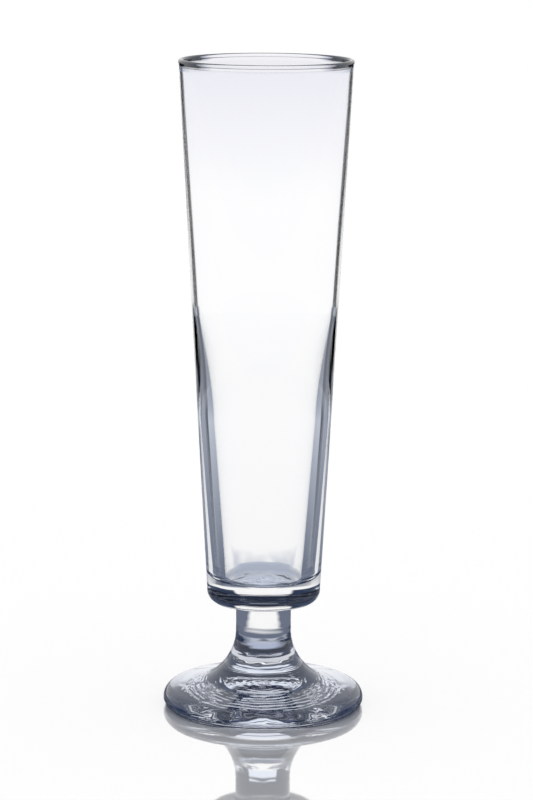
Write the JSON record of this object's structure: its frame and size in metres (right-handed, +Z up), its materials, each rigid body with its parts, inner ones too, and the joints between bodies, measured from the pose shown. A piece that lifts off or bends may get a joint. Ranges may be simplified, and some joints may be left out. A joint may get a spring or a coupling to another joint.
{
  "type": "sling glass",
  "caption": "Tall clear sling glass: tapered bowl with a thin upper wall and a thick solid base, on a short stem that flares into a heavy round foot",
  "frame": {"origin": "centre of the standing ring, on the surface that the glass stands on", "axes": "+Z up along the axis that the glass is turned about, from the foot to the rim; X and Y are alike"},
  "size_m": [0.0682, 0.0682, 0.22],
  "materials": {
    "bowl_glass": "clear, fire polished",
    "stem_glass": "clear, fire polished",
    "foot_glass": "clear, fire polished, faint pressed waves"
  },
  "bodies": {
    "root": {"bowl": "bowl_glass", "stem": "stem_glass", "foot": "foot_glass"}
  },
  "joints": []
}
